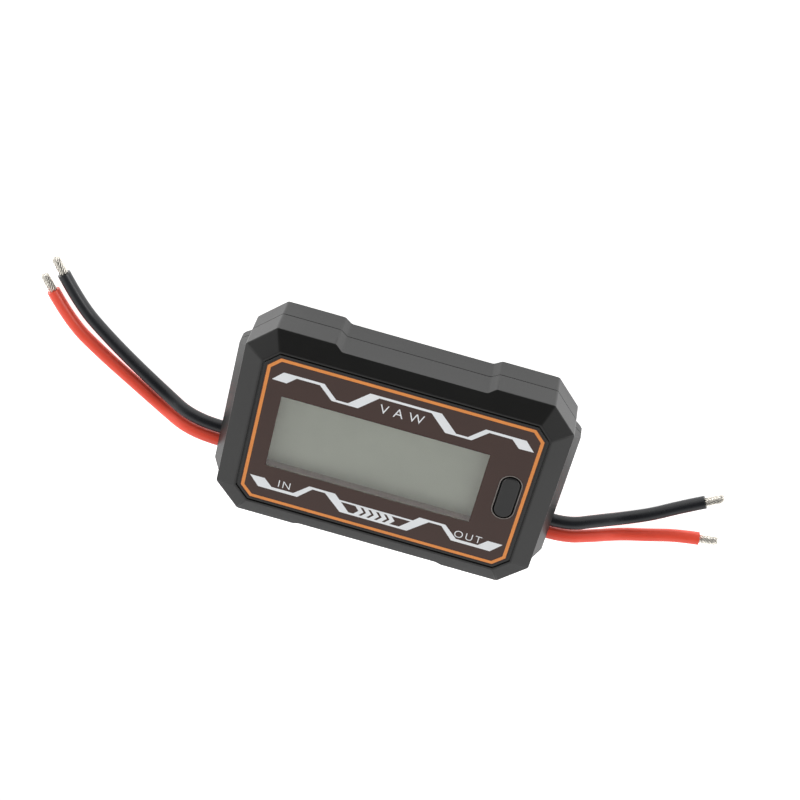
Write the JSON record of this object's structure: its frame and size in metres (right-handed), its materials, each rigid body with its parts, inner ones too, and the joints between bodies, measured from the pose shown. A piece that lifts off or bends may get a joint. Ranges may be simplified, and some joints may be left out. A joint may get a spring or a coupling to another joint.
{
  "type": "inline dc power meter",
  "caption": "Inline DC power meter with an internal current shunt, LCD window, one push key and free silicone leads at both ends.",
  "frame": {"origin": "centre of the flat rear face that the meter lies on", "axes": "+X from the supply leads to the load leads, +Y to the top of the display, +Z out of the display"},
  "size_m": [0.1955, 0.0596, 0.0182],
  "materials": {
    "case_plastic": "charcoal black ABS, fine satin mould texture",
    "label_film": "dark brown screen-printed polycarbonate film",
    "clear_lens": "clear window of the label film",
    "button_plastic": "satin black ABS key",
    "switch_plastic": "black plunger",
    "switch_metal": "tactile switch housing",
    "foam": "dark closed-cell foam strip",
    "polarizer_film": "grey-green satin display film",
    "lcd_glass": "liquid crystal cell glass",
    "light_guide": "white light guide",
    "zebra_rubber": "elastomeric contact strip",
    "holder_plastic": "black display holder",
    "circuit_board": "green glass-epoxy board",
    "screw_steel": "zinc plated self-tapping screw",
    "chip_epoxy": "moulded chip package",
    "crystal_can": "metal can",
    "capacitor_can": "aluminium can",
    "chip_ceramic": "thick-film chip resistor",
    "capacitor_ceramic": "ceramic chip capacitor",
    "shunt_alloy": "manganin shunt alloy",
    "bar_copper": "bare copper bar",
    "tinned_copper": "tinned copper strands",
    "black_silicone": "black silicone insulation, soft satin",
    "red_silicone": "red silicone insulation, soft satin",
    "solder": "bright solder"
  },
  "bodies": {
    "housing": {"front_shell": "case_plastic", "rear_shell": "case_plastic", "front_label": "label_film", "display_lens": "clear_lens", "switch_body": "switch_metal", "lcd_gasket": "foam", "lcd_polarizer": "polarizer_film", "lcd_front_glass": "lcd_glass", "lcd_rear_glass": "lcd_glass", "lcd_backlight": "light_guide", "lcd_connector": "zebra_rubber", "lcd_holder": "holder_plastic", "main_board": "circuit_board", "board_screws": "screw_steel", "case_screws": "screw_steel", "microcontroller": "chip_epoxy", "current_amplifier": "chip_epoxy", "voltage_regulator": "chip_epoxy", "timing_crystal": "crystal_can", "protection_diode": "chip_epoxy", "filter_capacitors": "capacitor_can", "chip_resistors": "chip_ceramic", "chip_capacitors": "capacitor_ceramic", "shunt_bar": "shunt_alloy", "positive_bar": "bar_copper", "inner_conductors": "tinned_copper", "inner_negative_sleeves": "black_silicone", "inner_positive_sleeves": "red_silicone", "solder_joints": "solder", "source_negative_lead": "black_silicone", "source_positive_lead": "red_silicone", "load_negative_lead": "black_silicone", "load_positive_lead": "red_silicone", "source_negative_strands": "tinned_copper", "source_positive_strands": "tinned_copper", "load_negative_strands": "tinned_copper", "load_positive_strands": "tinned_copper"},
    "button": {"mode_button": "button_plastic", "switch_plunger": "switch_plastic"}
  },
  "joints": [
    {"name": "button_press", "type": "slide", "parent": "housing", "child": "button", "axis": [0, 0, -1], "range_m": [0, 0.0004], "stiffness_N_per_m": 1500, "springref_m": -0.0003}
  ]
}
